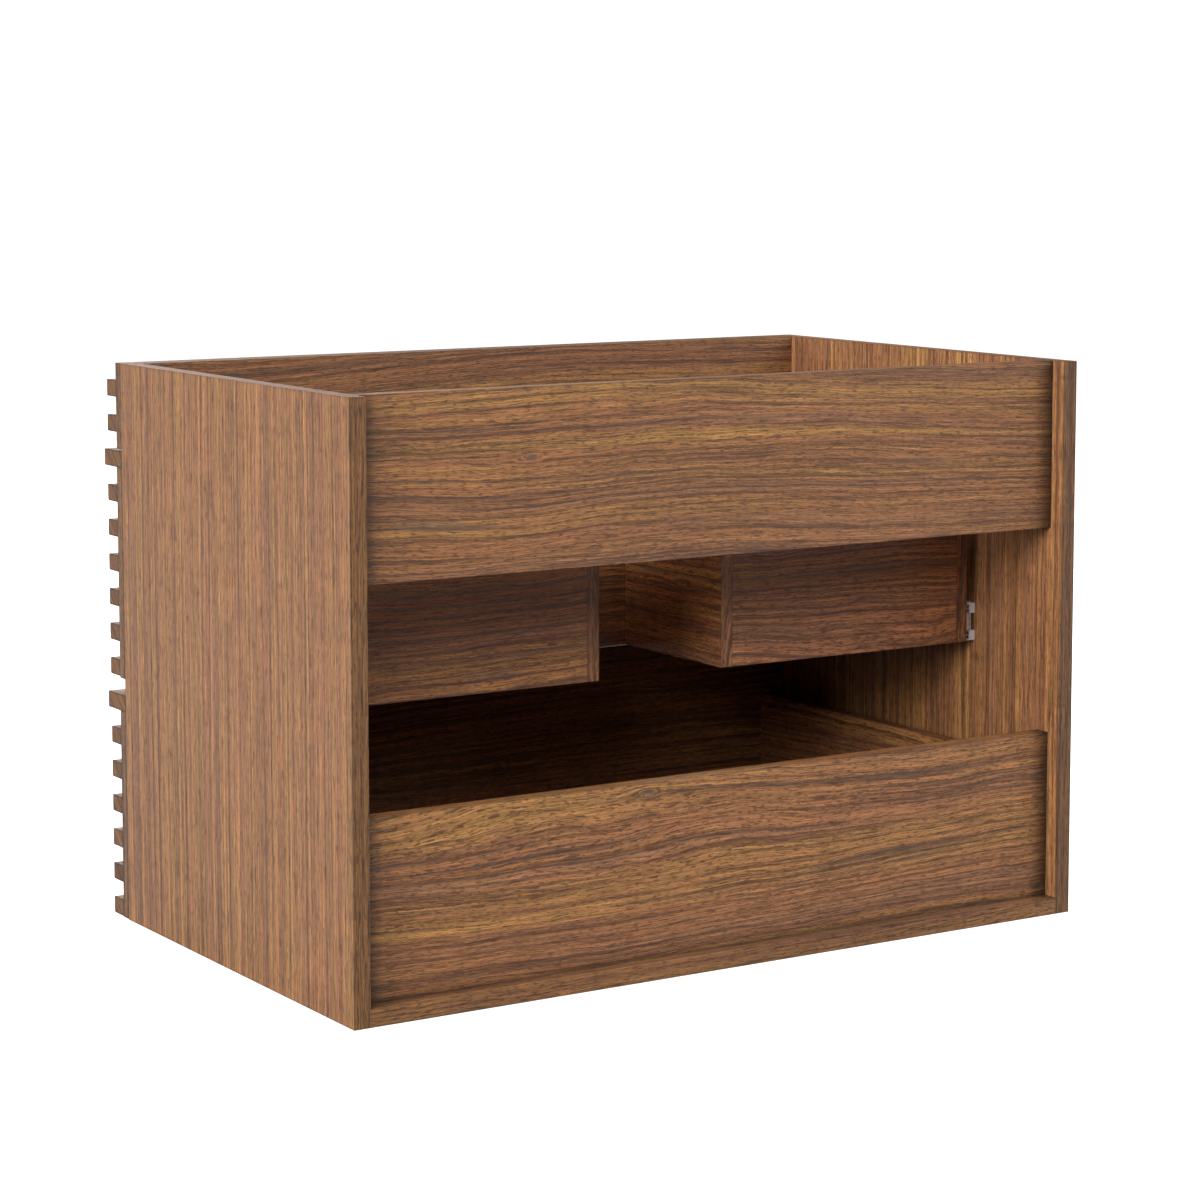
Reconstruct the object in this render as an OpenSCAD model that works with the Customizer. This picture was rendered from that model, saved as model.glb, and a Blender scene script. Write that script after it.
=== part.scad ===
// Wall-hung bathroom vanity base cabinet with two slatted drawers.
// Millimetres. +X is to the right seen from the front, the front faces -Y, +Z is up.
// The origin is under the middle of the cabinet, at the level of its lowest face.

/* [Cabinet] */
// Overall width, sides included
cab_w = 743; // [600:1:900]
// Overall height
cab_h = 508; // [505:1:560]
// Depth of the sides, without the fronts
carcass_d = 435; // [380:1:500]
// Thickness of the carcass boards
board_t = 15; // [14:0.5:19]
// Height of each of the two rear rails
rear_rail_h = 152; // [100:1:160]
// Distance from the rear edges of the sides to the rear rails
rear_rail_inset = 15; // [5:1:40]

/* [Fronts] */
// Thickness of the front panels
front_t = 10.5; // [10:0.5:16]
// Gap between the carcass and a closed drawer front
front_gap = 0.5; // [0.3:0.1:2]
// Height of the lowest slat above the lowest face of the cabinet
front_lift = 1; // [0.5:0.5:3]
// Number of slats on each drawer front, below its pull rail
slats = 6; // [4:1:6]
// Height of one slat
slat_h = 15; // [12:0.5:18]
// Spacing of the slats, from one bottom edge to the next
slat_pitch = 31.75; // [28:0.25:31.75]
// How far the lower front panel reaches below its lowest slat
lower_panel_drop = 0.5; // [0:0.25:0.5]
// How far the upper front panel reaches below its lowest slat
upper_panel_drop = 1.5; // [0:0.25:4]
// Depth of a drawer slat, in front of its panel
slat_d = 20; // [12:0.5:24]
// Depth of a fascia slat, in front of the fascia panel
fascia_slat_d = 19; // [12:0.5:24]
// Depth of a pull rail, from the rear of its panel
pull_rail_d = 36.5; // [36:0.5:45]
// Gap between the upper pull rail and the fascia panel
fascia_gap = 2; // [1:0.5:4]
// Radius of the long front edges of slats and rails
slat_edge_r = 1.5; // [0.5:0.5:4]

/* [Drawer boxes] */
// Thickness of the drawer boards
box_t = 12; // [12:0.5:15]
// Height of the drawer boards
box_h = 120; // [100:1:130]
// Length of the drawer sides
box_d = 316.5; // [312:0.5:340]
// Clear height between the bottom panel and the lower drawer
box_clear = 8; // [5:0.5:12]
// Height of the upper drawer's boards above the lower edge of its front panel
upper_box_rise = 14.75; // [8:0.25:30]
// Thickness of a drawer's bottom
floor_t = 6; // [4:0.5:6]
// Height of a drawer's bottom above the lower edges of its boards
floor_rise = 8; // [6:0.5:8]
// Depth of the grooves that hold a drawer's bottom
groove_d = 6; // [3:0.5:6]
// Depth of the groove in a front panel
front_groove_d = 4; // [2:0.5:5]

/* [Plumbing notch] */
// Clear width of the notch in the rear of the upper drawer
notch_w = 129; // [90:1:220]
// Clear depth of the notch, from the rear of the drawer
notch_d = 158; // [90:1:200]

/* [Slides] */
// Length of a closed slide
slide_len = 305; // [300:1:310]
// Height of a slide
slide_h = 35; // [35:1:36]
// Width of a slide, which is the gap between cabinet and drawer
slide_w = 12.7; // [12.7:0.1:13]
// Distance from the front edges of the sides to the slides
slide_setback = 7; // [3:1:10]
// Length of a ball cage
cage_len = 140; // [100:10:140]
// Number of balls in each row of a cage
balls = 10; // [6:1:12]

/* [Hidden] */
$fn = 48;
rear_y = 236;
front_y = rear_y - carcass_d;
inner_x = cab_w / 2 - board_t;
rail_y = rear_y - rear_rail_inset - board_t;

// Every slat and pull rail sits on one ladder of equal steps, numbered from the bottom.
function rung(k) = front_lift + k * slat_pitch;
pull_rung = slats;
upper_rung = slats + 1;
upper_pull_rung = 2 * slats + 1;
fascia_rung = 2 * slats + 2;
fascia_z = rung(upper_pull_rung) + slat_h + fascia_gap;

panel_y = front_y - front_gap;
panel_face_y = panel_y - front_t;
fascia_face_y = front_y - front_t;

box_x = inner_x - slide_w;
box_in_x = box_x - box_t;
box_rear_y = panel_y + box_d;
upper_box_z = rung(upper_rung) + upper_box_rise;
lower_box_z = board_t + box_clear;
notch_x = notch_w / 2;
notch_y = box_rear_y - notch_d;

// Slide section. Depth is measured from the cabinet side towards the drawer,
// height from the middle of the slide.
steel_t = 1.2;
thin_steel_t = 1;
lip_t = 1.1;
slide_half = slide_h / 2;
outer_depth = 10;
middle_start = 2.6;
middle_depth = 7.9;
middle_half = slide_half - 4.4;
inner_start = 4.8;
inner_half = slide_half - 8.6;
ball_r = 1.5;
outer_ball = [5, slide_half - 2.8];
inner_ball = [7, slide_half - 7];
cage_t = 0.5;
outer_cage_start = 1.7;
outer_cage_depth = 5.3;
inner_cage_start = 3.9;
inner_cage_depth = 4.8;
// The outer member's rear end is folded into two stop tabs beside its web, which is cut back between
// them, and the inner member's end into one plate with rounded teeth. The members inside the outer one
// end short of the tabs.
tab_t = 1.2;
tab_w = 6;
tab_h = 9.3;
web_cut = 9;
end_plate_start = 4;
end_plate_half = 7.7;
teeth = 3;
member_len = slide_len - 2;
slide_y = front_y + slide_setback;
// A cage starts where it stays between both of its members over the whole travel.
cage_y = slide_y + (slide_len - cage_len) / 2;
access_hole_r = 4;

// Screws of the slides, placed from the front end of the slide.
cabinet_screw_at = [37, 165, 261];
drawer_screw_at = [50, 146, 242];
screw_len = 11;
screw_r = 1.75;
screw_head_r = 3.2;
screw_head_h = 1.45;
screw_tip = 2.5;
recess_w = 0.8;
recess_d = 0.9;

// Dowels: [radius, depth in the face it enters, depth in the end it enters].
carcass_dowel = [4, 10, 20];
fascia_dowel = [4, 7, 10];
box_dowel = [3, 7, 20];
rail_dowel = [3, 9, 15];
// Bores are this much wider and deeper than the dowels and screws in them.
bore_play = 0.05;
bore_relief = 0.5;

walnut_side = "#a47e62";
walnut_board = "#8a6247";
walnut_front = "#7c5a44";
walnut_drawer = "#805640";
beech = "#d8b98a";
zinc = "#d9dcdf";
steel = "#a9adb2";

sides = ["left", "right"];
levels = ["upper", "lower"];
function way(side) = side == "left" ? -1 : 1;
function box_z(level) = level == "upper" ? upper_box_z : lower_box_z;

// ---- Shared shapes ----

// A board between two opposite corners.
module board(low, high) {
    translate(low) cube(high - low);
}

// Copies of the children on the left and on the right.
module both_sides() {
    children();
    mirror([1, 0, 0]) children();
}

// The children on one side: as drawn on the right, mirrored on the left.
module on_side(side) {
    mirror([side == "left" ? 1 : 0, 0, 0]) children();
}

// A rod along +X, +Y or +Z, starting at a point.
module rod(start, axis, r, len) {
    turn = axis == "x" ? [0, 90, 0] : axis == "y" ? [-90, 0, 0] : [0, 0, 0];
    translate(start) rotate(turn) cylinder(r = r, h = len);
}

// A dowel across the joint plane at a point. The first depth is on the positive side of the plane.
// With grow on, it is the bore that the dowel fits.
module dowel(at, axis, r, above, below, grow) {
    play = grow ? bore_play : 0;
    relief = grow ? bore_relief : 0;
    along = axis == "x" ? [1, 0, 0] : axis == "y" ? [0, 1, 0] : [0, 0, 1];
    rod(at - along * (below + relief), axis, r + play, above + below + 2 * relief);
}

// A slat or rail of full cabinet width, its back at y = 0 and its underside at z = 0.
module slat_bar(depth) {
    r = slat_edge_r;
    translate([-cab_w / 2, 0, 0]) rotate([90, 0, 90]) linear_extrude(cab_w) {
        translate([r - depth, 0]) square([depth - r, slat_h]);
        translate([-depth, r]) square([depth, slat_h - 2 * r]);
        for (z = [r, slat_h - r]) translate([r - depth, z]) circle(r);
    }
}

// ---- Cabinet ----

module carcass_dowel_set(grow) {
    r = carcass_dowel[0];
    face = carcass_dowel[1];
    end = carcass_dowel[2];
    rear_rail_mid = rail_y + board_t / 2;
    front_rail_mid = front_y + board_t / 2;
    both_sides() {
        for (y = [front_y + 40, 0, rear_y - 56]) dowel([inner_x, y, board_t / 2], "x", r, face, end, grow);
        for (z = [cab_h - rear_rail_h + 32, cab_h - 32, board_t + 30, board_t + rear_rail_h - 30])
            dowel([inner_x, rear_rail_mid, z], "x", r, face, end, grow);
        for (z = [fascia_z + 20, cab_h - 20]) dowel([inner_x, front_rail_mid, z], "x", r, face, end, grow);
    }
    for (x = [-1.5:1:1.5]) dowel([x * cab_w / 4, front_y, (fascia_z + cab_h) / 2], "y",
        fascia_dowel[0], fascia_dowel[2], fascia_dowel[1], grow);
}

module carcass_dowels() color(beech) carcass_dowel_set(false);

module side_panel(side) color(walnut_side) difference() {
    on_side(side) board([inner_x, front_y, 0], [cab_w / 2, rear_y, cab_h]);
    carcass_dowel_set(true);
    for (l = levels) cabinet_screws(l, true);
}

module bottom_panel() color(walnut_board) difference() {
    board([-inner_x, front_y, 0], [inner_x, rear_y, board_t]);
    carcass_dowel_set(true);
}

module rear_rail(z) color(walnut_board) difference() {
    board([-inner_x, rail_y, z], [inner_x, rail_y + board_t, z + rear_rail_h]);
    carcass_dowel_set(true);
}

module front_top_rail() color(walnut_board) difference() {
    board([-inner_x, front_y, fascia_z], [inner_x, front_y + board_t, cab_h]);
    carcass_dowel_set(true);
}

module fascia_panel() color(walnut_front) difference() {
    board([-cab_w / 2, fascia_face_y, fascia_z], [cab_w / 2, front_y, cab_h]);
    carcass_dowel_set(true);
}

module fascia_slat(i) color(walnut_front)
    translate([0, fascia_face_y, rung(fascia_rung + i - 1)]) slat_bar(fascia_slat_d);

// ---- Drawers ----

// The bottom of a drawer: a plain rectangle, or a U round the notch.
module drawer_floor(level) {
    z = box_z(level) + floor_rise;
    groove_x = box_in_x + groove_d;
    rear = box_rear_y - box_t + groove_d;
    notch_in_x = notch_x + box_t - groove_d;
    color(walnut_drawer) difference() {
        board([-groove_x, panel_y - front_groove_d, z], [groove_x, rear, z + floor_t]);
        if (level == "upper")
            board([-notch_in_x, notch_y - groove_d, z - 1], [notch_in_x, rear + 1, z + floor_t + 1]);
    }
}

module drawer_dowel_set(level, grow) {
    r = box_dowel[0];
    face = box_dowel[1];
    end = box_dowel[2];
    z0 = box_z(level);
    panel_top = level == "upper" ? rung(upper_pull_rung) : rung(pull_rung);
    back_y = box_rear_y - box_t / 2;
    for (z = [z0 + 32, z0 + box_h - 32]) both_sides() {
        dowel([box_in_x + box_t / 2, panel_y, z], "y", r, end, face, grow);
        dowel([box_in_x, back_y, z], "x", r, face, end, grow);
        if (level == "upper") {
            dowel([notch_x + box_t, back_y, z], "x", r, end, face, grow);
            dowel([notch_x, notch_y - box_t / 2, z], "x", r, face, end, grow);
        }
    }
    for (x = [-1.5:1:1.5]) dowel([x * cab_w / 4, panel_y - front_t / 2, panel_top], "z",
        rail_dowel[0], rail_dowel[1], rail_dowel[2], grow);
}

module drawer_dowels(level) color(beech) drawer_dowel_set(level, false);

// What every drawer board makes room for.
module drawer_cuts(level) {
    drawer_floor(level);
    drawer_dowel_set(level, true);
    drawer_screws(level, true);
}

module front_panel(level) {
    low = level == "upper" ? rung(upper_rung) - upper_panel_drop : rung(0) - lower_panel_drop;
    high = level == "upper" ? rung(upper_pull_rung) : rung(pull_rung);
    color(walnut_front) difference() {
        board([-cab_w / 2, panel_face_y, low], [cab_w / 2, panel_y, high]);
        drawer_cuts(level);
    }
}

module pull_rail(level) color(walnut_front) difference() {
    translate([0, panel_y, rung(level == "upper" ? upper_pull_rung : pull_rung)]) slat_bar(pull_rail_d);
    drawer_dowel_set(level, true);
}

module drawer_slat(level, i) color(walnut_front)
    translate([0, panel_face_y, rung((level == "upper" ? upper_rung : 0) + i - 1)]) slat_bar(slat_d);

// A drawer board between two values of x and two of y.
module box_board(level, x, y) {
    z = box_z(level);
    color(walnut_drawer) difference() {
        board([min(x), y[0], z], [max(x), y[1], z + box_h]);
        drawer_cuts(level);
    }
}

module drawer_side(level, side) box_board(level, way(side) * [box_in_x, box_x], [panel_y, box_rear_y]);

module notch_side(side)
    box_board("upper", way(side) * [notch_x, notch_x + box_t], [notch_y - box_t, box_rear_y]);

module upper_back(side)
    box_board("upper", way(side) * [notch_x + box_t, box_in_x], [box_rear_y - box_t, box_rear_y]);

module upper_notch_crosspiece() box_board("upper", [-notch_x, notch_x], [notch_y - box_t, notch_y]);

module lower_back() box_board("lower", [-box_in_x, box_in_x], [box_rear_y - box_t, box_rear_y]);

// ---- Slides ----

// Puts a section drawn as [depth, height] at the cabinet side of a level, extruded along a length.
module along_slide(level, side, from, len) {
    z = box_z(level) + slide_half;
    on_side(side)
        translate([inner_x, from + len, z]) rotate([90, 0, 0]) mirror([1, 0, 0])
            linear_extrude(len) children();
}

// A C section: a web at the start and two flanges, with lips turned towards the middle.
module channel(start, depth, half, t, lip) {
    translate([start, -half]) square([t, 2 * half]);
    for (s = [0, 1]) mirror([0, s]) {
        translate([start, half - t]) square([depth, t]);
        translate([start + depth - t, half - t - lip]) square([t, t + lip]);
    }
}

module slide_outer(level, side) color(zinc) difference() {
    union() {
        along_slide(level, side, slide_y, slide_len) channel(0, outer_depth, slide_half, steel_t, lip_t);
        along_slide(level, side, slide_y + slide_len - tab_t, tab_t)
            for (s = [0, 1]) mirror([0, s]) translate([0, slide_half - tab_h]) square([tab_w, tab_h]);
    }
    along_slide(level, side, slide_y + slide_len - web_cut, web_cut + 1)
        translate([-1, tab_h - slide_half]) square([steel_t + 2, slide_h - 2 * tab_h]);
    cabinet_screws(level, true);
}

module slide_middle(level, side) color(zinc) difference() {
    along_slide(level, side, slide_y, member_len)
        channel(middle_start, middle_depth, middle_half, thin_steel_t, thin_steel_t);
    for (at = cabinet_screw_at) on_side(side)
        rod([inner_x - middle_start - 2 * thin_steel_t, slide_y + at, box_z(level) + slide_half], "x",
            access_hole_r, 3 * thin_steel_t);
}

// The plate at the rear end of an inner member, with its teeth towards the cabinet side.
module end_plate() {
    tooth_r = end_plate_half / teeth;
    root = end_plate_start + 0.7 * tooth_r;
    translate([root, -end_plate_half]) square([slide_w - root, 2 * end_plate_half]);
    for (i = [0:teeth - 1])
        translate([end_plate_start + tooth_r, (2 * i + 1) * tooth_r - end_plate_half]) circle(tooth_r);
}

module slide_inner(level, side) color(zinc) difference() {
    union() {
        along_slide(level, side, slide_y, member_len)
            translate([slide_w, 0]) mirror([1, 0])
                channel(0, slide_w - inner_start, inner_half, thin_steel_t, 0);
        along_slide(level, side, slide_y + member_len - thin_steel_t, thin_steel_t) end_plate();
    }
    drawer_screws(level, true);
}

// The cages of the left and right slides: a folded strip and two rows of balls each.
module ball_cages(level, start, depth, ball) color(steel) for (side = sides) {
    half = ball[1] + cage_t / 2;
    step = cage_len / balls;
    along_slide(level, side, cage_y, cage_len) {
        translate([start, -half]) square([cage_t, 2 * half]);
        for (s = [0, 1]) mirror([0, s]) translate([start, half - cage_t]) square([depth, cage_t]);
    }
    for (i = [0.5:balls]) for (s = [-1, 1])
        translate([way(side) * (inner_x - ball[0]), cage_y + i * step, box_z(level) + slide_half + s * ball[1]])
            sphere(ball_r);
}

// A countersunk screw along +X with its head face at x = 0. With grow on, it is its hole.
module screw(grow) {
    play = grow ? bore_play : 0;
    shank = screw_len - screw_tip;
    difference() {
        rotate([0, 90, 0]) {
            cylinder(r1 = screw_head_r + play, r2 = screw_r + play, h = screw_head_h);
            cylinder(r = screw_r + play, h = shank + play);
            translate([0, 0, shank]) cylinder(r1 = screw_r + play, r2 = play + 0.2, h = screw_tip);
        }
        if (!grow) for (turn = [0, 90]) rotate([turn, 0, 0])
            translate([-1, -recess_w / 2, -screw_head_r * 0.6]) cube([1 + recess_d, recess_w, screw_head_r * 1.2]);
    }
}

// Screws that hold the outer members of a level to both cabinet sides.
module cabinet_screws(level, grow) both_sides() for (at = cabinet_screw_at)
    translate([inner_x - steel_t, slide_y + at, box_z(level) + slide_half]) screw(grow);

// Screws that hold the inner members of a level to both drawer sides.
module drawer_screws(level, grow) both_sides() for (at = drawer_screw_at)
    translate([box_x + thin_steel_t, slide_y + at, box_z(level) + slide_half]) mirror([1, 0, 0]) screw(grow);

// ---- The assembly ----

bottom_panel();
rear_rail(cab_h - rear_rail_h);  // rear_top_rail
rear_rail(board_t);  // rear_bottom_rail
front_top_rail();
fascia_panel();
carcass_dowels();
color(steel) for (l = levels) cabinet_screws(l, false);  // cabinet_slide_screws
upper_notch_crosspiece();
lower_back();
for (i = [1, 2]) fascia_slat(i);

for (s = sides) {
    side_panel(s);
    notch_side(s);
    upper_back(s);
}

for (l = levels) {
    front_panel(l);
    pull_rail(l);
    drawer_floor(l);
    drawer_dowels(l);
    color(steel) drawer_screws(l, false);
    ball_cages(l, outer_cage_start, outer_cage_depth, outer_ball);
    ball_cages(l, inner_cage_start, inner_cage_depth, inner_ball);
    for (i = [1:slats]) drawer_slat(l, i);
    for (s = sides) {
        drawer_side(l, s);
        slide_outer(l, s);
        slide_middle(l, s);
        slide_inner(l, s);
    }
}
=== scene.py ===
"""Looks of the wall-hung vanity cabinet: walnut laminate boards, slatted fronts, zinc slides."""
import math
import random

import bpy
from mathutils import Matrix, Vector


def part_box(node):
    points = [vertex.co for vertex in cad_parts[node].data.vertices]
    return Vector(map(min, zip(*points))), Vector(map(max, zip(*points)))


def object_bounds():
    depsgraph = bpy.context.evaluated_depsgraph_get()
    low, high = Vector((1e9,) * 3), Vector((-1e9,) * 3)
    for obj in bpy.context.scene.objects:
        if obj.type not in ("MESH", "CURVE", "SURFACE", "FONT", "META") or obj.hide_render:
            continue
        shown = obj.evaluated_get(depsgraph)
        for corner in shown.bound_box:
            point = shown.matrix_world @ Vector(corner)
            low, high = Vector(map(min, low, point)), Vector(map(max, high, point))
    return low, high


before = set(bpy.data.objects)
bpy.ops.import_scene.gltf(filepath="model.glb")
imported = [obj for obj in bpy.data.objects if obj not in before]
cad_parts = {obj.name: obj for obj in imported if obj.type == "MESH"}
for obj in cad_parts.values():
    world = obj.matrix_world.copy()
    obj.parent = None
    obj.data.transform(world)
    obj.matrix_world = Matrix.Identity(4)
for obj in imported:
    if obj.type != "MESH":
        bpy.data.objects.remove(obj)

cad_low, cad_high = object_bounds()
scene = bpy.context.scene
AXES = {"X": 0, "Y": 1, "Z": 2}


# ---------------------------------------------------------------- camera, floor and light

# The cabinet is seen from behind, from above its right-hand rear corner.
CAMERA_PLACE = (1.5681, 2.4903, 0.7198)
CAMERA_YAW = math.radians(32.374)
CAMERA_PITCH = math.radians(6.208)
CAMERA_LENS = 97.845
CAMERA_SHIFT_Y = -0.1
# The floor lies a hair below the lowest face, so that the two don't show through each other.
FLOOR_SIZE = 60.0
FLOOR_DROP = 0.0005
# How bright the background and the far floor are to the camera: just past white.
WHITE = 1.05
# How bright the world is to everything that it lights.
WORLD_LIGHT = 0.02
# Every light is a square panel of this size, this far from its target.
LIGHT_SIZE = 2.2
LIGHT_DISTANCE = 5.0
# The point that every light aims at.
LIGHT_TARGET = Vector((0, 0, 0.25))
# Each light's name, azimuth and elevation in degrees, and power in watts. Azimuth 0 is +X, and 90 is +Y, the
# rear.
LIGHTS = (
    ("key", 15, 15, 275),
    ("key_high", 42, 28, 120),
    ("rear_high", 112, 38, 80),
    ("rear_left", 150, 32, 150),
    ("left", 180, 2, 120),
    ("front_right", -57, 5, 12),
    ("front", -88, 32, 190),
    ("front_high", -100, 50, 80),
    ("front_low", -122, 8, 1.2),
    ("below", -90, -80, 70),
)


def look_along(yaw, pitch):
    """Camera rotation that looks towards -Y, turned towards -X by yaw and downwards by pitch."""
    ahead = Vector((-math.sin(yaw) * math.cos(pitch), -math.cos(yaw) * math.cos(pitch), -math.sin(pitch)))
    return ahead.to_track_quat("-Z", "Y")


def make_camera():
    data = bpy.data.cameras.new("photo_camera")
    data.lens = CAMERA_LENS
    data.sensor_width = 36.0
    data.shift_y = CAMERA_SHIFT_Y
    data.clip_start = 0.05
    data.clip_end = 100.0
    camera = bpy.data.objects.new("photo_camera", data)
    scene.collection.objects.link(camera)
    camera.location = CAMERA_PLACE
    camera.rotation_mode = "QUATERNION"
    camera.rotation_quaternion = look_along(CAMERA_YAW, CAMERA_PITCH)
    scene.camera = camera


def make_floor():
    """A wide pale floor, bright enough to meet the white background without an edge."""
    half = FLOOR_SIZE / 2
    mesh = bpy.data.meshes.new("floor")
    corners = [(-half, -half, 0), (half, -half, 0), (half, half, 0), (-half, half, 0)]
    mesh.from_pydata(corners, [], [(0, 1, 2, 3)])
    floor = bpy.data.objects.new("floor", mesh)
    floor.location = (0, 0, cad_low.z - FLOOR_DROP)
    scene.collection.objects.link(floor)
    floor.visible_diffuse = False
    floor.visible_shadow = False
    floor.data.materials.append(floor_material())


def area_light(name, place, power):
    data = bpy.data.lights.new(name, "AREA")
    data.shape = "SQUARE"
    data.size = LIGHT_SIZE
    data.energy = power
    light = bpy.data.objects.new(name, data)
    scene.collection.objects.link(light)
    light.location = place
    light.rotation_mode = "QUATERNION"
    light.rotation_quaternion = (LIGHT_TARGET - place).to_track_quat("-Z", "Y")


def make_lights():
    """A soft key from the right, weaker fills all round, and one from below for the underside."""
    for name, azimuth, elevation, power in LIGHTS:
        turn = math.radians(azimuth)
        rise = math.radians(elevation)
        way = Vector((math.cos(turn) * math.cos(rise), math.sin(turn) * math.cos(rise), math.sin(rise)))
        area_light(name, LIGHT_TARGET + way * LIGHT_DISTANCE, power)


def make_world():
    """White to the camera, and a dimmer white for everything that it lights."""
    world = bpy.data.worlds.new("studio")
    scene.world = world
    world.use_nodes = True
    tree = world.node_tree
    tree.nodes.clear()
    out = tree.nodes.new("ShaderNodeOutputWorld")
    mix = tree.nodes.new("ShaderNodeMixShader")
    seen = tree.nodes.new("ShaderNodeBackground")
    lit = tree.nodes.new("ShaderNodeBackground")
    path = tree.nodes.new("ShaderNodeLightPath")
    seen.inputs["Color"].default_value = (1, 1, 1, 1)
    seen.inputs["Strength"].default_value = WHITE
    lit.inputs["Color"].default_value = (1, 1, 1, 1)
    lit.inputs["Strength"].default_value = WORLD_LIGHT
    tree.links.new(path.outputs["Is Camera Ray"], mix.inputs[0])
    tree.links.new(lit.outputs[0], mix.inputs[1])
    tree.links.new(seen.outputs[0], mix.inputs[2])
    tree.links.new(mix.outputs[0], out.inputs[0])


# ---------------------------------------------------------------- node helpers

class Graph:
    """A material's nodes, with short calls for the ones used here."""

    def __init__(self, name):
        self.material = bpy.data.materials.new(name)
        self.material.use_nodes = True
        self.nodes = self.material.node_tree.nodes
        self.links = self.material.node_tree.links
        self.nodes.clear()

    def add(self, kind, **settings):
        node = self.nodes.new("ShaderNode" + kind)
        for key, value in settings.items():
            setattr(node, key, value)
        return node

    def feed(self, socket, value):
        """Links a socket, or sets it when the value is a constant. None leaves it alone."""
        if value is None:
            return
        if isinstance(value, bpy.types.NodeSocket):
            self.links.new(value, socket)
        else:
            socket.default_value = value

    def math(self, operation, a, b=None, c=None):
        node = self.add("Math", operation=operation)
        for socket, value in zip(node.inputs, (a, b, c)):
            self.feed(socket, value)
        return node.outputs[0]

    def mix(self, amount, a, b):
        """A plain blend of two numbers."""
        node = self.add("Mix", data_type="FLOAT")
        self.feed(node.inputs[0], amount)
        self.feed(node.inputs[2], a)
        self.feed(node.inputs[3], b)
        return node.outputs[0]

    def blend(self, amount, a, b, kind="MIX"):
        """A blend of two colours."""
        node = self.add("Mix", data_type="RGBA", blend_type=kind)
        self.feed(node.inputs[0], amount)
        for socket, value in ((node.inputs[6], a), (node.inputs[7], b)):
            self.feed(socket, (*value, 1) if isinstance(value, tuple) else value)
        return node.outputs[2]

    def vector(self, x, y, z):
        node = self.add("CombineXYZ")
        for socket, value in zip(node.inputs, (x, y, z)):
            self.feed(socket, value)
        return node.outputs[0]

    def noise(self, place, scale=1.0, detail=2.0, rough=0.5):
        node = self.add("TexNoise", noise_dimensions="3D")
        self.feed(node.inputs["Vector"], place)
        node.inputs["Scale"].default_value = scale
        node.inputs["Detail"].default_value = detail
        node.inputs["Roughness"].default_value = rough
        return node.outputs["Fac"]

    def ramp(self, amount, stops):
        """A smooth colour ramp from a list of (place, colour or grey level)."""
        node = self.add("ValToRGB")
        band = node.color_ramp
        band.interpolation = "EASE"
        while len(band.elements) < len(stops):
            band.elements.new(0.5)
        for element, (place, colour) in zip(band.elements, stops):
            element.position = place
            element.color = (*colour, 1) if isinstance(colour, tuple) else (colour, colour, colour, 1)
        self.feed(node.inputs[0], amount)
        return node.outputs[0]

    def window(self, amount, low, high):
        """0 below low, 1 above high, and smooth between."""
        node = self.add("MapRange", interpolation_type="SMOOTHSTEP", clamp=True)
        self.feed(node.inputs["Value"], amount)
        node.inputs["From Min"].default_value = low
        node.inputs["From Max"].default_value = high
        return node.outputs[0]

    def openness_for_painted_shade(self, reach):
        """1 in the open, and down to 0 in a corner, where other surfaces are nearer than reach. It paints
        shade into corners.
        """
        node = self.add("AmbientOcclusion", samples=6)
        node.inputs["Distance"].default_value = reach
        return self.window(node.outputs["AO"], 0.45, 0.98)

    def bump(self, height, strength, distance):
        node = self.add("Bump")
        node.inputs["Strength"].default_value = strength
        node.inputs["Distance"].default_value = distance
        self.feed(node.inputs["Height"], height)
        return node.outputs[0]

    def shader(self, colour, rough, normal=None, **constants):
        """The Principled shader. Constants are set on its own sockets."""
        node = self.add("BsdfPrincipled")
        self.feed(node.inputs["Base Color"], colour)
        self.feed(node.inputs["Roughness"], rough)
        self.feed(node.inputs["Normal"], normal)
        for key, value in constants.items():
            node.inputs[key.replace("_", " ")].default_value = value
        out = self.add("OutputMaterial")
        self.links.new(node.outputs[0], out.inputs[0])
        return self.material


# ---------------------------------------------------------------- walnut

# Linear colours of the laminate's printed grain, from the palest heartwood to the veins.
OCHRE = (0.325, 0.163, 0.047)
TAN = (0.300, 0.140, 0.047)
RED_BROWN = (0.270, 0.113, 0.045)
GREY_BROWN = (0.222, 0.102, 0.046)
VEIN = (0.062, 0.035, 0.024)
PORE = (0.070, 0.024, 0.009)
SMOKE = (0.085, 0.058, 0.045)
LAMINATE_ROUGHNESS = 0.34
SOLID_ROUGHNESS = 0.46
# How far apart knots can be, along and across the grain, how many of those places hold one, how strongly one
# pushes the grain aside, and the radii at which its dark eye starts and is full, in metres.
KNOT_PITCH = (0.22, 0.11)
KNOT_SHARE = 0.28
KNOT_PUSH = 0.0032
KNOT_EYE = (0.0035, 0.0012)
# A knot is this much narrower across the grain than along it, and its push is blunted this near its centre.
KNOT_SLENDER = 0.3
KNOT_BLUNT = 0.0015
# How wide the dark line round a face is, in metres.
ARRIS_WIDTH = 0.0014
# How far from a corner the painted shade in a recess reaches, in metres.
PAINTED_SHADE_REACH = 0.022
# How light a painted shadow leaves the ends of a rail, where it meets the sides that stand proud of it.
PAINTED_RECESS_SHADOW_LEVEL = 0.48
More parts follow.
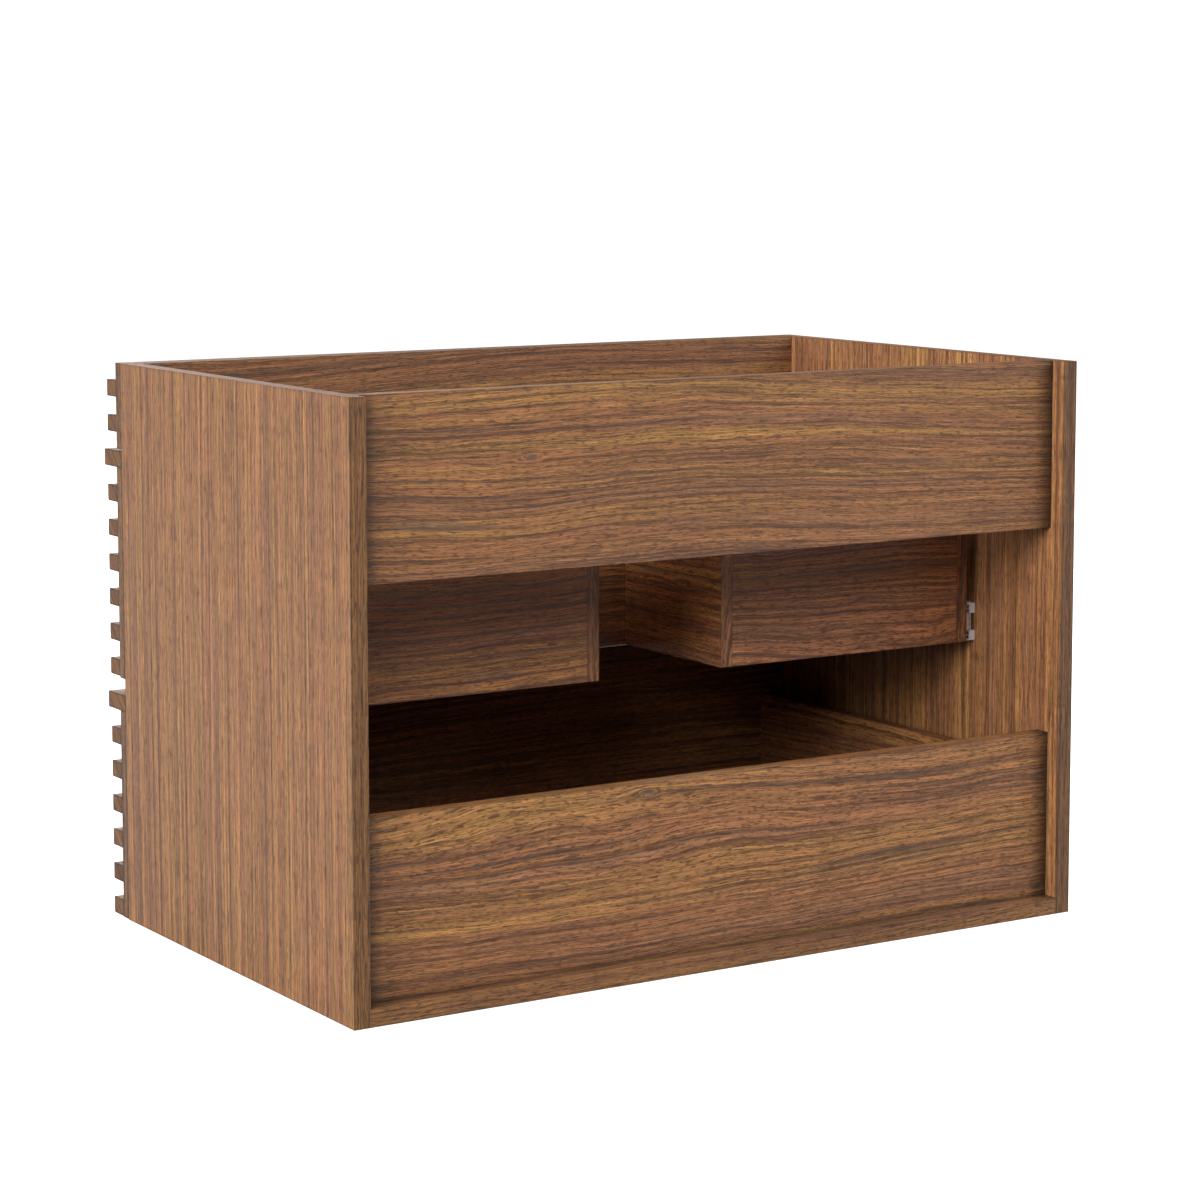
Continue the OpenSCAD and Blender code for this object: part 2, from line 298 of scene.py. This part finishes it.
# The two ways that a board is cut from the log. Scales are in cycles per metre along the grain, a streak is
# the arguments of Grain.lines, and the rest are how strongly each layer shows.
STRAIGHT_CUT = {
    "dash_scale": 40,
    "speck_scale": 110,
    "streak": (1.0, 230, 3.0, 0.75),
    "dark_streak": 0.38,
    "pale_streak": 1.42,
    "rings_per_metre": 165,
    "ring": 0.46,
    "vein": 0.30,
    "speck": 0.6,
}
PLAIN_CUT = {
    "dash_scale": 52,
    "speck_scale": 130,
    "streak": (2.4, 260, 2.0, 0.65),
    "dark_streak": 0.48,
    "pale_streak": 1.30,
    "rings_per_metre": 150,
    "ring": 0.22,
    "vein": 0.84,
    "speck": 0.8,
}


def board_axes(node, grain):
    """The cross and thickness axes of a board, from its box: it is thinnest across its thickness."""
    low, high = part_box(node)
    size = high - low
    others = [axis for axis in "XYZ" if axis != grain]
    others.sort(key=lambda axis: size[AXES[axis]])
    return others[1], others[0]


def inwards(graph, node, axis, split):
    """How far inside the nearer end of a board's box a point lies, along an axis."""
    m = graph.math
    low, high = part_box(node)
    middle = (low[AXES[axis]] + high[AXES[axis]]) / 2
    half = (high[AXES[axis]] - low[AXES[axis]]) / 2
    return m("SUBTRACT", half, m("ABSOLUTE", m("SUBTRACT", split.outputs[axis], middle)))


def arris(graph, node, split, facing):
    """1 within a millimetre of the edges of each face of a board's box, and 0 elsewhere."""
    m = graph.math
    line = 0.0
    for axis in "XYZ":
        across_face = m("LESS_THAN", m("ABSOLUTE", facing.outputs[axis]), 0.5)
        near = graph.window(inwards(graph, node, axis, split), ARRIS_WIDTH, ARRIS_WIDTH / 2)
        line = m("MAXIMUM", line, m("MULTIPLY", across_face, near))
    return line


def knots(graph, along, across):
    """Small knots, far apart: how far each pushes the grain aside, and how dark its eye is."""
    m = graph.math
    pitch_along, pitch_across = KNOT_PITCH
    cell = graph.add("TexVoronoi", voronoi_dimensions="2D")
    cell.inputs["Scale"].default_value = 1.0
    spread = graph.vector(m("DIVIDE", along, pitch_along), m("DIVIDE", across, pitch_across), 0.0)
    graph.links.new(spread, cell.inputs["Vector"])
    centre = graph.add("SeparateXYZ")
    graph.links.new(cell.outputs["Position"], centre.inputs[0])
    dx = m("SUBTRACT", along, m("MULTIPLY", centre.outputs[0], pitch_along))
    dy = m("SUBTRACT", across, m("MULTIPLY", centre.outputs[1], pitch_across))
    stretched = m("MULTIPLY", dx, KNOT_SLENDER)
    far = m("ADD", m("MULTIPLY", stretched, stretched), m("MULTIPLY_ADD", dy, dy, KNOT_BLUNT ** 2))
    chance = graph.add("SeparateColor")
    graph.links.new(cell.outputs["Color"], chance.inputs[0])
    present = m("GREATER_THAN", chance.outputs[0], 1.0 - KNOT_SHARE)
    # It fades out before its cell ends, so that no seam shows.
    present = m("MULTIPLY", present, graph.window(cell.outputs["Distance"], 0.45, 0.12))
    aside = m("MULTIPLY", present, m("DIVIDE", m("MULTIPLY", dy, KNOT_PUSH ** 2), far))
    eye_start, eye_full = KNOT_EYE
    eye = m("MULTIPLY", present, graph.window(far, eye_start ** 2, eye_full ** 2))
    return aside, eye


class Grain:
    """Where a point lies in a board's grain, in metres. along runs with it. ring runs square to it, after the
    grain's wander and the knots. on_end and on_edge are 1 on those faces. eye is 1 in the dark middle of a
    knot, and None on a board that has no knots."""

    def __init__(self, graph, node, seed, look):
        m = graph.math
        draw = random.Random(seed)
        grain = grain_of(node)
        cross_axis, thick_axis = board_axes(node, grain)
        place = graph.add("TexCoord")
        self.graph = graph
        self.split = graph.add("SeparateXYZ")
        graph.links.new(place.outputs["Object"], self.split.inputs[0])
        self.facing = graph.add("SeparateXYZ")
        graph.links.new(place.outputs["Normal"], self.facing.inputs[0])

        along = self.split.outputs[grain]
        across = self.split.outputs[cross_axis]
        self.on_end = m("GREATER_THAN", m("ABSOLUTE", self.facing.outputs[grain]), 0.7)
        self.on_edge = m("GREATER_THAN", m("ABSOLUTE", self.facing.outputs[cross_axis]), 0.7)
        if not look["solid"]:
            along, across = graph.mix(self.on_end, along, across), graph.mix(self.on_end, across, along)
        along = m("ADD", along, draw.uniform(0, 9))
        across = m("ADD", across, draw.uniform(0, 9))
        depth = m("ADD", self.split.outputs[thick_axis], draw.uniform(0, 9))

        # Broad wander of the grain with a finer wobble on it, and knots that it flows round.
        wander = graph.noise(graph.vector(m("MULTIPLY", along, 1.3), m("MULTIPLY", across, 4.5),
                                          m("MULTIPLY", depth, 4.5)), detail=1.0)
        wobble = graph.noise(graph.vector(m("MULTIPLY", along, 9.0), m("MULTIPLY", across, 22.0),
                                          m("MULTIPLY", depth, 22.0)), detail=2.0)
        ring = m("MULTIPLY_ADD", depth, 0.9, across)
        ring = m("MULTIPLY_ADD", wander, look["figure"], ring)
        ring = m("MULTIPLY_ADD", wobble, look["figure"] * 0.09, ring)
        self.eye = None
        if not look["straight"]:
            aside, self.eye = knots(graph, along, across)
            ring = m("SUBTRACT", ring, aside)
        self.along = along
        self.ring = ring

    def lines(self, along_scale, ring_scale, detail=2.0, rough=0.5):
        """Streaks that follow the grain: long along it, close together across it."""
        m = self.graph.math
        along = m("MULTIPLY", self.along, along_scale)
        ring = m("MULTIPLY", self.ring, ring_scale)
        return self.graph.noise(self.graph.vector(along, ring, 0.0), detail=detail, rough=rough)


def heartwood(graph, grain, fray):
    """Broad bands of heartwood colour. An edge is a narrow strip, so its bands differ less."""
    m = graph.math
    bands = m("MULTIPLY_ADD", fray, 0.35, grain.lines(0.9, 60, 2.0, 0.6))
    bands = graph.mix(m("MULTIPLY", grain.on_edge, 0.55), bands, 0.53)
    return graph.ramp(bands, [(0.34, GREY_BROWN), (0.45, RED_BROWN), (0.56, TAN), (0.74, OCHRE)])


def add_streaks(graph, grain, colour, streak, fray, cut):
    """Soft streaks, light and dark, which are weaker on the edges."""
    shade = graph.ramp(graph.math("MULTIPLY_ADD", fray, 0.55, streak),
                       [(0.34, cut["dark_streak"]), (0.5, 1.03), (0.66, cut["pale_streak"])])
    return graph.blend(graph.mix(grain.on_edge, 0.85, 0.55), colour, shade, "MULTIPLY")


def add_rings(graph, grain, colour, fray, cut, veins):
    """Growth rings, which darken slowly and end at a sharp line. Here and there one is a dark vein."""
    m = graph.math
    drift = grain.lines(0.8, 26, 1.0)
    phase = m("MULTIPLY_ADD", drift, 7.0, m("MULTIPLY", grain.ring, cut["rings_per_metre"]))
    late = m("POWER", m("FRACT", m("MULTIPLY_ADD", fray, 0.5, phase)), 5.0)
    late = m("MULTIPLY", late, graph.mix(grain.on_edge, 1.0, 0.5))
    where = m("MULTIPLY_ADD", fray, 0.3, grain.lines(2.2, 30, 1.0))
    where = graph.window(where, 0.47 - veins, 0.62 - veins)
    vein = m("MULTIPLY", m("MULTIPLY", late, where), cut["vein"])
    return graph.blend(m("MULTIPLY_ADD", late, cut["ring"], vein), colour, VEIN)


def find_pores(graph, grain, dash, streak, cut):
    """Pores: dark dashes, thickest along the streaks, and small specks."""
    m = graph.math
    dashes = graph.window(m("MULTIPLY_ADD", m("SUBTRACT", streak, 0.5), -0.4, dash), 0.535, 0.62)
    specks = graph.window(grain.lines(cut["speck_scale"], 1000, 1.0), 0.56, 0.64)
    return m("MAXIMUM", dashes, m("MULTIPLY", specks, cut["speck"]))


def add_smoke(graph, grain, colour, fray):
    """Smoky lens-shaped patches, and the knots' eyes."""
    m = graph.math
    smoke = graph.window(m("MULTIPLY_ADD", fray, 0.25, grain.lines(5.0, 60, 1.0)), 0.68, 0.80)
    smoke = m("MAXIMUM", m("MULTIPLY", smoke, 0.6), m("MULTIPLY", grain.eye, 0.7))
    return graph.blend(smoke, colour, SMOKE)


def lightness(graph, node, grain, look):
    """How light each place on a board is. A banded edge's glue line is a thin dark line round every face.
    Corners get painted shade, and a recessed rail's ends a painted shadow.
    """
    m = graph.math
    tone = look["tone"]
    outline = arris(graph, node, grain.split, grain.facing)
    level = m("MULTIPLY", graph.mix(grain.on_edge, tone, tone * look["edge"]),
              graph.mix(grain.on_end, 1.0, look["end"]))
    level = m("MULTIPLY", level, graph.mix(outline, 1.0, look["outline"]))
    # Painted shade in the corners, from an ambient occlusion node.
    if look["corner"] < 1.0:
        level = m("MULTIPLY", level, graph.mix(graph.openness_for_painted_shade(PAINTED_SHADE_REACH), look["corner"], 1.0))
    # Painted shadow at the ends of a rail, as the proud sides would cast it.
    if look["recessed"]:
        clear = graph.window(inwards(graph, node, grain_of(node), grain.split), 0.0, PAINTED_SHADE_REACH)
        level = m("MULTIPLY", level, graph.mix(clear, PAINTED_RECESS_SHADOW_LEVEL, 1.0))
    return level


def walnut(node, seed):
    """Walnut laminate for one board. Every face shows grain along its own length, as banded edges do, except
    that a solid slat shows end grain on its ends."""
    look = board_look(node)
    cut = STRAIGHT_CUT if look["straight"] else PLAIN_CUT
    graph = Graph("walnut_" + node)
    m = graph.math
    grain = Grain(graph, node, seed, look)
    # Short fine dashes fray every coarser layer, as rows of pores do.
    dash = grain.lines(cut["dash_scale"], 620, 2.0, 0.75)
    fray = m("SUBTRACT", dash, 0.5)
    streak = grain.lines(*cut["streak"])
    pore = find_pores(graph, grain, dash, streak, cut)
    fibre = grain.lines(25, 1150, 1.0, 0.5)

    colour = heartwood(graph, grain, fray)
    colour = add_streaks(graph, grain, colour, streak, fray, cut)
    colour = add_rings(graph, grain, colour, fray, cut, look["veins"])
    colour = graph.blend(m("MULTIPLY", pore, 0.88), colour, PORE)
    strands = graph.ramp(fibre, [(0.30, 0.60), (0.5, 1.02), (0.70, 1.46)])
    colour = graph.blend(1.0, colour, strands, "MULTIPLY")
    if not look["straight"]:
        colour = add_smoke(graph, grain, colour, fray)
    level = lightness(graph, node, grain, look)
    tint = graph.vector(m("MULTIPLY", level, look["warm"]), level, level)
    colour = graph.blend(1.0, colour, tint, "MULTIPLY")

    rough = m("MULTIPLY_ADD", fibre, 0.16, SOLID_ROUGHNESS if look["solid"] else LAMINATE_ROUGHNESS)
    rough = m("MULTIPLY_ADD", pore, 0.12, rough)
    height = m("MULTIPLY_ADD", pore, -1.0, m("MULTIPLY", fibre, 0.35))
    normal = graph.bump(height, 0.3, 0.0002)
    return graph.shader(colour, rough, normal, IOR=1.5)


# ---------------------------------------------------------------- metal, beech and floor

def zinc(name, colour, rough, streaks, metallic):
    """Plated steel: fine drawing lines along the slide and a faint mottle in the plating."""
    graph = Graph(name)
    m = graph.math
    place = graph.add("TexCoord")
    split = graph.add("SeparateXYZ")
    graph.links.new(place.outputs["Object"], split.inputs[0])
    x, y, z = split.outputs
    stretched = graph.vector(m("MULTIPLY", x, streaks), m("MULTIPLY", y, 25), m("MULTIPLY", z, streaks))
    drawn = graph.noise(stretched, detail=3.0)
    mottle = graph.noise(place.outputs["Object"], scale=420, detail=3.0)
    shade = graph.ramp(drawn, [(0.3, 0.90), (0.7, 1.0)])
    base = graph.blend(1.0, colour, shade, "MULTIPLY")
    base = graph.blend(m("MULTIPLY", mottle, 0.15), base, (0.62, 0.64, 0.70))
    roughness = m("MULTIPLY_ADD", mottle, 0.2, rough)
    normal = graph.bump(drawn, 0.25, 0.00005)
    return graph.shader(base, roughness, normal, Metallic=metallic)


def beech(name):
    """Unfinished turned beech of the dowels: pale, with short flecks."""
    graph = Graph(name)
    m = graph.math
    place = graph.add("TexCoord")
    flecks = graph.noise(place.outputs["Object"], scale=900, detail=3.0)
    bands = graph.noise(place.outputs["Object"], scale=150, detail=2.0)
    colour = graph.ramp(bands, [(0.3, (0.50, 0.33, 0.18)), (0.7, (0.66, 0.48, 0.30))])
    colour = graph.blend(m("MULTIPLY", graph.window(flecks, 0.58, 0.7), 0.5), colour, (0.34, 0.20, 0.11))
    return graph.shader(colour, m("MULTIPLY_ADD", flecks, 0.2, 0.55), graph.bump(flecks, 0.3, 0.0001))


def floor_material():
    """White of itself to the camera, and a shade less round the cabinet, so that the faintest contact
    shadow shows there. In gloss it is dim, and from below it is clear."""
    graph = Graph("studio_floor")
    place = graph.add("TexCoord")
    grain = graph.noise(place.outputs["Object"], scale=6, detail=2.0)
    length = graph.add("VectorMath", operation="LENGTH")
    graph.links.new(place.outputs["Object"], length.inputs[0])
    white = graph.mix(graph.window(length.outputs["Value"], 0.5, 1.3), 0.86, WHITE)
    path = graph.add("LightPath")
    glow = graph.mix(path.outputs["Is Camera Ray"], 0.1, white)
    shaded = graph.add("BsdfDiffuse")
    graph.feed(shaded.inputs["Color"], graph.ramp(grain, [(0.2, 0.42), (0.8, 0.45)]))
    lit = graph.add("Emission")
    graph.feed(lit.inputs["Strength"], glow)
    both = graph.add("AddShader")
    graph.links.new(shaded.outputs[0], both.inputs[0])
    graph.links.new(lit.outputs[0], both.inputs[1])
    clear = graph.add("BsdfTransparent")
    side = graph.add("NewGeometry")
    either = graph.add("MixShader")
    graph.links.new(side.outputs["Backfacing"], either.inputs[0])
    graph.links.new(both.outputs[0], either.inputs[1])
    graph.links.new(clear.outputs[0], either.inputs[2])
    out = graph.add("OutputMaterial")
    graph.links.new(either.outputs[0], out.inputs[0])
    graph.material.cycles.emission_sampling = "NONE"
    return graph.material


# ---------------------------------------------------------------- what each piece gets

# How far a board's sharp edges are rounded, in metres, and the angle that counts as sharp.
EDGE_ROUND = 0.0005
SHARP_ANGLE = math.radians(35)


def soften(node):
    """Rounds a CAD piece's sharp edges by a hair, so that they catch the light."""
    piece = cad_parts[node]
    weld = piece.modifiers.new("weld", "WELD")
    weld.merge_threshold = 1e-6
    bevel = piece.modifiers.new("edges", "BEVEL")
    bevel.width = EDGE_ROUND
    bevel.segments = 2
    bevel.limit_method = "ANGLE"
    bevel.angle_limit = SHARP_ANGLE
    bevel.harden_normals = True


def dress(node, material):
    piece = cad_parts[node]
    piece.data.materials.clear()
    piece.data.materials.append(material)


def grain_of(node):
    """The axis along which a board's grain runs."""
    if node.startswith("side_panel"):
        return "Z"
    if "_side_" in node:
        return "Y"
    return "X"


# What walnut needs to know of a board.
PLAIN_BOARD = {
    # How far the grain wanders, in metres.
    "figure": 0.06,
    # Whether it is quarter-sawn, with straight grain and no knots.
    "straight": False,
    # Whether it is solid wood, with end grain on its ends.
    "solid": False,
    # How light the board is, and its edges, ends and arrises, and how light the painted shade leaves the
    # corners beside it.
    "tone": 1.0,
    "edge": 0.8,
    "end": 0.85,
    "outline": 0.8,
    "corner": 1.0,
    # How many more dark veins it has than most, and how much redder it is.
    "veins": 0.0,
    "warm": 1.0,
    # Whether its ends get a painted shadow, as they lie in corners behind the proud sides.
    "recessed": False,
}


def board_look(node):
    """How a board is cut, figured and shaded."""
    def look(**changes):
        return {**PLAIN_BOARD, **changes}

    if node == "side_panel_right":
        return look(figure=0.016, straight=True, tone=0.96, edge=0.66)
    if node == "side_panel_left":
        return look(figure=0.012, straight=True, tone=1.08, edge=0.50)
    if "slat" in node or "pull_rail" in node:
        tone = random.Random(node).uniform(0.72, 0.96)
        return look(figure=0.03, solid=True, tone=tone, end=0.66, outline=0.3)
    if node.endswith("front_panel") or node == "fascia_panel":
        return look(tone=0.95, end=0.65, outline=0.4)
    # The rear rails and the bottom panel get painted shade in their corners, and the rails a painted shadow
    # at their ends.
    if node == "rear_top_rail":
        return look(figure=0.10, corner=0.3, recessed=True)
    if node == "rear_bottom_rail":
        return look(figure=0.10, tone=1.12, corner=0.3, recessed=True)
    if node == "bottom_panel":
        return look(corner=0.3)
    # Its low tone is painted shade, for the dark inside of the cabinet.
    if node == "front_top_rail":
        return look(figure=0.07, tone=0.70)
    if node.startswith("lower_side"):
        return look(figure=0.08, tone=1.15)
    return look(figure=0.12, tone=1.08, veins=0.14, warm=1.10)


def dress_all():
    zinc_bright = zinc("zinc_bright", (0.97, 0.95, 0.99), 0.36, 2400, 0.25)
    zinc_plain = zinc("zinc_plain", (0.86, 0.86, 0.89), 0.30, 2400, 0.6)
    screw_steel = zinc("screw_steel", (0.78, 0.79, 0.82), 0.30, 1500, 0.7)
    ball_steel = zinc("ball_steel", (0.62, 0.62, 0.64), 0.18, 1500, 0.9)
    dowel_beech = beech("dowel_beech")
    for seed, node in enumerate(sorted(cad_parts)):
        if "dowels" in node:
            dress(node, dowel_beech)
        elif "screws" in node:
            dress(node, screw_steel)
        elif "cages" in node:
            dress(node, ball_steel)
        elif "_slide_outer" in node:
            dress(node, zinc_bright)
        elif "_slide_" in node:
            dress(node, zinc_plain)
        else:
            dress(node, walnut(node, seed))
            soften(node)


make_camera()
make_floor()
make_lights()
make_world()
dress_all()
scene.view_settings.view_transform = "Standard"
